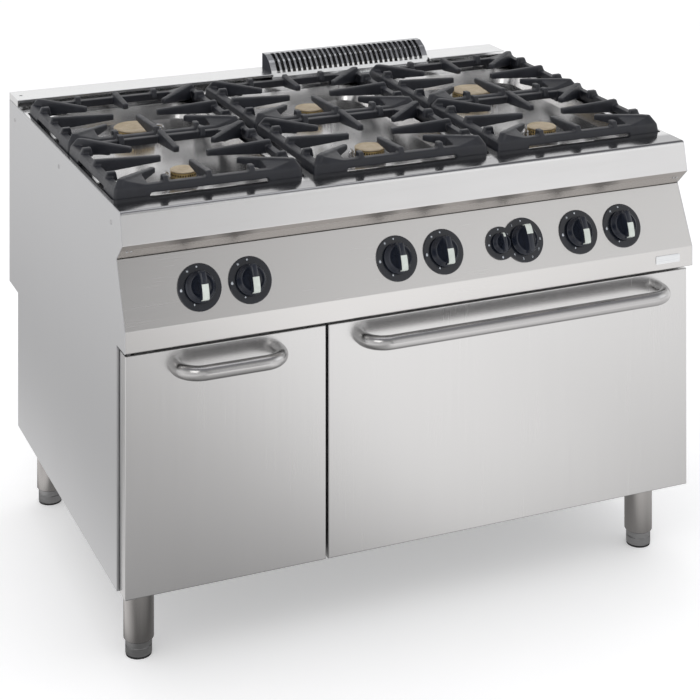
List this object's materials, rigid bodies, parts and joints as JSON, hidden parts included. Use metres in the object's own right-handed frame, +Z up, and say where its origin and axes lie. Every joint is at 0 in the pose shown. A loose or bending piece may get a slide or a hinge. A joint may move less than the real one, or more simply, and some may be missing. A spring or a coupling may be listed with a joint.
{
  "type": "commercial gas range",
  "caption": "Free-standing stainless commercial gas range: open burners under lift-off cast pan supports, slanted control panel, side cupboard, drop-down oven door and tubular legs.",
  "frame": {"origin": "floor level under the middle of the bounding box", "axes": "+Z up, +X to the right when facing the doors, +Y to the rear"},
  "size_m": [1.2024, 0.9482, 0.898],
  "materials": {
    "brushed_steel_side": "brushed satin",
    "galvanised_sheet": "dull galvanised sheet",
    "polished_worktop": "polished pressed stainless steel",
    "shelf_steel": "satin stainless steel",
    "hood_steel": "polished stainless steel",
    "panel_steel": "fine brushed stainless steel",
    "badge": "satin blank plate",
    "black_bezel": "gloss with light marks",
    "black_knob": "semi-gloss moulded",
    "spindle_brass": "machined",
    "cast_iron_enamel": "matt enamelled casting",
    "gas_brass": "machined",
    "gas_pipe": "zinc plated pipe",
    "burner_cup": "cast, heat dulled",
    "burner_head": "machined, heat dulled",
    "pilot_chrome": "bright, heat tinted",
    "leg_steel": "satin tube",
    "foot_steel": "satin turned, black pad",
    "door_steel": "fine brushed stainless steel",
    "liner_steel": "dull stainless sheet",
    "handle_steel": "satin polished tube",
    "hinge_steel": "zinc plated",
    "oven_enamel": "gloss vitreous enamel",
    "oven_floor": "enamelled plate",
    "rack_chrome": "plated wire",
    "oven_burner_steel": "heat tinted tube",
    "insulation_wool": "mineral wool slab",
    "door_seal": "braided glass rope",
    "fixing_steel": "plated screws"
  },
  "bodies": {
    "root": {"back_panel": "galvanised_sheet", "badge_plate": "badge", "base_pan": "galvanised_sheet", "burner_bezels": "black_bezel", "burner_cups": "burner_cup", "burner_heads": "burner_head", "control_panel": "panel_steel", "door_hinge_pins": "hinge_steel", "fixings": "fixing_steel", "flue_duct": "galvanised_sheet", "flue_hood": "hood_steel", "front_frame": "galvanised_sheet", "gas_pipework": "gas_pipe", "gas_taps": "gas_brass", "leg_tubes": "leg_steel", "oven_burner": "oven_burner_steel", "oven_chamber": "oven_enamel", "oven_control_bezel": "black_bezel", "oven_door_seal": "door_seal", "oven_floor_plate": "oven_floor", "oven_gas_valve": "gas_brass", "oven_insulation": "insulation_wool", "oven_rack": "rack_chrome", "oven_rack_guides": "rack_chrome", "partition": "galvanised_sheet", "pilot_burners": "pilot_chrome", "rear_shelf": "shelf_steel", "side_panel_left": "brushed_steel_side", "side_panel_right": "brushed_steel_side", "worktop": "polished_worktop"},
    "tap_spindle_1_body": {"tap_spindle_1": "spindle_brass"},
    "burner_knob_1_body": {"burner_knob_1": "black_knob"},
    "tap_spindle_2_body": {"tap_spindle_2": "spindle_brass"},
    "burner_knob_2_body": {"burner_knob_2": "black_knob"},
    "tap_spindle_3_body": {"tap_spindle_3": "spindle_brass"},
    "burner_knob_3_body": {"burner_knob_3": "black_knob"},
    "tap_spindle_4_body": {"tap_spindle_4": "spindle_brass"},
    "burner_knob_4_body": {"burner_knob_4": "black_knob"},
    "tap_spindle_5_body": {"tap_spindle_5": "spindle_brass"},
    "burner_knob_5_body": {"burner_knob_5": "black_knob"},
    "tap_spindle_6_body": {"tap_spindle_6": "spindle_brass"},
    "burner_knob_6_body": {"burner_knob_6": "black_knob"},
    "thermostat_knob_body": {"thermostat_knob": "black_knob"},
    "selector_knob_body": {"selector_knob": "black_knob"},
    "pan_support_1_body": {"pan_support_1": "cast_iron_enamel"},
    "pan_support_2_body": {"pan_support_2": "cast_iron_enamel"},
    "pan_support_3_body": {"pan_support_3": "cast_iron_enamel"},
    "pan_support_4_body": {"pan_support_4": "cast_iron_enamel"},
    "pan_support_5_body": {"pan_support_5": "cast_iron_enamel"},
    "pan_support_6_body": {"pan_support_6": "cast_iron_enamel"},
    "levelling_foot_1_body": {"levelling_foot_1": "foot_steel"},
    "levelling_foot_2_body": {"levelling_foot_2": "foot_steel"},
    "levelling_foot_3_body": {"levelling_foot_3": "foot_steel"},
    "levelling_foot_4_body": {"levelling_foot_4": "foot_steel"},
    "cupboard_door": {"cupboard_door_skin": "door_steel", "cupboard_door_liner": "liner_steel", "cupboard_handle": "handle_steel"},
    "oven_door": {"oven_door_skin": "door_steel", "oven_door_liner": "liner_steel", "oven_door_handle": "handle_steel"}
  },
  "joints": [
    {"name": "burner_tap_1_turn", "type": "hinge", "parent": "root", "child": "tap_spindle_1_body", "pos_m": [-0.4505, -0.40045, 0.69586], "axis": [0, -0.9037, 0.4283], "range_deg": [0, 165]},
    {"name": "burner_knob_1_press", "type": "slide", "parent": "tap_spindle_1_body", "child": "burner_knob_1_body", "axis": [0, 0.9037, -0.4283], "range_m": [0, 0.003]},
    {"name": "burner_tap_2_turn", "type": "hinge", "parent": "root", "child": "tap_spindle_2_body", "pos_m": [-0.3514, -0.40045, 0.69586], "axis": [0, -0.9037, 0.4283], "range_deg": [0, 165]},
    {"name": "burner_knob_2_press", "type": "slide", "parent": "tap_spindle_2_body", "child": "burner_knob_2_body", "axis": [0, 0.9037, -0.4283], "range_m": [0, 0.003]},
    {"name": "burner_tap_3_turn", "type": "hinge", "parent": "root", "child": "tap_spindle_3_body", "pos_m": [-0.0518, -0.40045, 0.69586], "axis": [0, -0.9037, 0.4283], "range_deg": [0, 165]},
    {"name": "burner_knob_3_press", "type": "slide", "parent": "tap_spindle_3_body", "child": "burner_knob_3_body", "axis": [0, 0.9037, -0.4283], "range_m": [0, 0.003]},
    {"name": "burner_tap_4_turn", "type": "hinge", "parent": "root", "child": "tap_spindle_4_body", "pos_m": [0.0474, -0.40045, 0.69586], "axis": [0, -0.9037, 0.4283], "range_deg": [0, 165]},
    {"name": "burner_knob_4_press", "type": "slide", "parent": "tap_spindle_4_body", "child": "burner_knob_4_body", "axis": [0, 0.9037, -0.4283], "range_m": [0, 0.003]},
    {"name": "burner_tap_5_turn", "type": "hinge", "parent": "root", "child": "tap_spindle_5_body", "pos_m": [0.3469, -0.40045, 0.69586], "axis": [0, -0.9037, 0.4283], "range_deg": [0, 165]},
    {"name": "burner_knob_5_press", "type": "slide", "parent": "tap_spindle_5_body", "child": "burner_knob_5_body", "axis": [0, 0.9037, -0.4283], "range_m": [0, 0.003]},
    {"name": "burner_tap_6_turn", "type": "hinge", "parent": "root", "child": "tap_spindle_6_body", "pos_m": [0.4477, -0.40045, 0.69586], "axis": [0, -0.9037, 0.4283], "range_deg": [0, 165]},
    {"name": "burner_knob_6_press", "type": "slide", "parent": "tap_spindle_6_body", "child": "burner_knob_6_body", "axis": [0, 0.9037, -0.4283], "range_m": [0, 0.003]},
    {"name": "thermostat_knob_turn", "type": "hinge", "parent": "root", "child": "thermostat_knob_body", "pos_m": [0.223, -0.40045, 0.69586], "axis": [0, -0.9037, 0.4283], "range_deg": [0, 270]},
    {"name": "selector_knob_turn", "type": "hinge", "parent": "root", "child": "selector_knob_body", "pos_m": [0.172, -0.40045, 0.69586], "axis": [0, -0.9037, 0.4283], "range_deg": [0, 180]},
    {"name": "pan_support_1_lift", "type": "slide", "parent": "root", "child": "pan_support_1_body", "axis": [0, 0, 1], "range_m": [0, 0.12]},
    {"name": "pan_support_2_lift", "type": "slide", "parent": "root", "child": "pan_support_2_body", "axis": [0, 0, 1], "range_m": [0, 0.12]},
    {"name": "pan_support_3_lift", "type": "slide", "parent": "root", "child": "pan_support_3_body", "axis": [0, 0, 1], "range_m": [0, 0.12]},
    {"name": "pan_support_4_lift", "type": "slide", "parent": "root", "child": "pan_support_4_body", "axis": [0, 0, 1], "range_m": [0, 0.12]},
    {"name": "pan_support_5_lift", "type": "slide", "parent": "root", "child": "pan_support_5_body", "axis": [0, 0, 1], "range_m": [0, 0.12]},
    {"name": "pan_support_6_lift", "type": "slide", "parent": "root", "child": "pan_support_6_body", "axis": [0, 0, 1], "range_m": [0, 0.12]},
    {"name": "levelling_foot_1_adjust", "type": "slide", "parent": "root", "child": "levelling_foot_1_body", "axis": [0, 0, -1], "range_m": [0, 0.03]},
    {"name": "levelling_foot_2_adjust", "type": "slide", "parent": "root", "child": "levelling_foot_2_body", "axis": [0, 0, -1], "range_m": [0, 0.03]},
    {"name": "levelling_foot_3_adjust", "type": "slide", "parent": "root", "child": "levelling_foot_3_body", "axis": [0, 0, -1], "range_m": [0, 0.03]},
    {"name": "levelling_foot_4_adjust", "type": "slide", "parent": "root", "child": "levelling_foot_4_body", "axis": [0, 0, -1], "range_m": [0, 0.03]},
    {"name": "cupboard_door_hinge", "type": "hinge", "parent": "root", "child": "cupboard_door", "pos_m": [-0.583, -0.396, 0.3735], "axis": [0, 0, 1], "range_deg": [-110, 0]},
    {"name": "oven_door_hinge", "type": "hinge", "parent": "root", "child": "oven_door", "pos_m": [0.1985, -0.392, 0.165], "axis": [1, 0, 0], "range_deg": [0, 90]}
  ]
}
